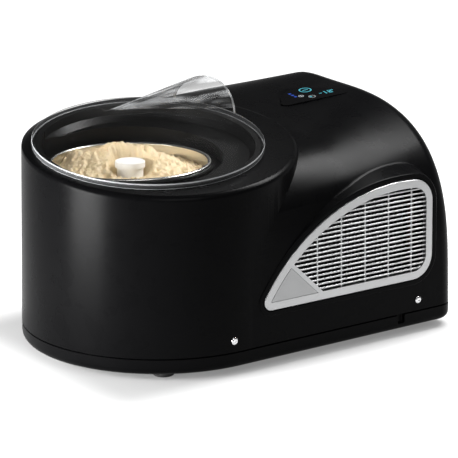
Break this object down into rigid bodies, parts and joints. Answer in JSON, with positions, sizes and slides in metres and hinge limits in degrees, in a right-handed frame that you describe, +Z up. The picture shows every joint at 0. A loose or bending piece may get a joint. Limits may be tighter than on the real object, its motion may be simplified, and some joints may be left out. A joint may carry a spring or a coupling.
{
  "type": "ice cream maker",
  "caption": "Table-top ice cream maker with its own cooling: round tower, sloping hood, clear lid with a horn grip, lift-out bowl and driven paddle, side air grilles.",
  "frame": {"origin": "on the floor under the middle of the machine's outline", "axes": "+X from the round tower to the square end, +Y to the back, +Z up"},
  "size_m": [0.4186, 0.2884, 0.2548],
  "materials": {
    "black_shell": "satin moulded plastic",
    "black_tray": "satin moulded plastic",
    "black_rubber": "matt",
    "bright_screw": "polished",
    "silver_grille": "silver lacquer",
    "bare_plate": "satin, left bare",
    "dark_glass": "gloss, lit from behind",
    "clear_lid": "clear",
    "black_liner": "satin",
    "polished_bowl": "polished",
    "white_paddle": "white, food safe",
    "can_metal": "mill finish",
    "foam": "cut foam",
    "plated_steel": "zinc plated",
    "dark_enamel": "black enamel",
    "copper": "copper tube",
    "fin_metal": "bare fins",
    "black_mould": "moulded",
    "board_green": "lacquered board"
  },
  "bodies": {
    "housing": {"housing_shell": "black_shell", "base_tray": "black_tray", "feet": "black_rubber", "side_screws": "bright_screw", "grille_near": "silver_grille", "grille_far": "silver_grille", "badge_plate": "bare_plate", "display_window": "dark_glass", "control_board": "board_green", "well_liner": "black_liner", "cooling_can": "can_metal", "evaporator_jacket": "can_metal", "insulation": "foam", "motor_plate": "plated_steel", "plate_pillars": "plated_steel", "gearbox": "dark_enamel", "drive_motor": "plated_steel", "shaft_bush": "white_paddle", "compressor": "dark_enamel", "compressor_plate": "plated_steel", "compressor_grommets": "black_rubber", "relay_cover": "black_mould", "condenser_core": "fin_metal", "condenser_headers": "fin_metal", "fan_shroud": "black_mould", "fan_motor": "black_mould", "filter_drier": "copper", "discharge_pipe": "copper", "liquid_pipe": "copper", "capillary_tube": "copper", "suction_pipe": "copper", "power_board": "board_green", "transformer": "plated_steel", "mains_inlet": "black_mould"},
    "drive": {"drive_shaft": "plated_steel"},
    "bowl": {"bowl": "polished_bowl"},
    "paddle": {"paddle": "white_paddle", "paddle_cap": "white_paddle"},
    "lid": {"lid": "clear_lid"},
    "fan": {"fan_blades": "black_mould"}
  },
  "joints": [
    {"name": "drive_spin", "type": "hinge", "parent": "housing", "child": "drive", "pos_m": [-0.10275, 0, 0.11], "axis": [0, 0, 1], "continuous": true},
    {"name": "bowl_lift", "type": "slide", "parent": "housing", "child": "bowl", "axis": [0, 0, 1], "range_m": [0, 0.14]},
    {"name": "paddle_spin", "type": "hinge", "parent": "bowl", "child": "paddle", "pos_m": [-0.10275, 0, 0.14], "axis": [0, 0, 1], "continuous": true},
    {"name": "lid_lift", "type": "slide", "parent": "bowl", "child": "lid", "axis": [0, 0, 1], "range_m": [0, 0.12]},
    {"name": "fan_spin", "type": "hinge", "parent": "housing", "child": "fan", "pos_m": [0.08625, -0.072, 0.09], "axis": [0, 1, 0], "continuous": true}
  ],
  "couplings": [
    {"joint": "paddle_spin", "follows": "drive_spin", "ratio": 1}
  ]
}
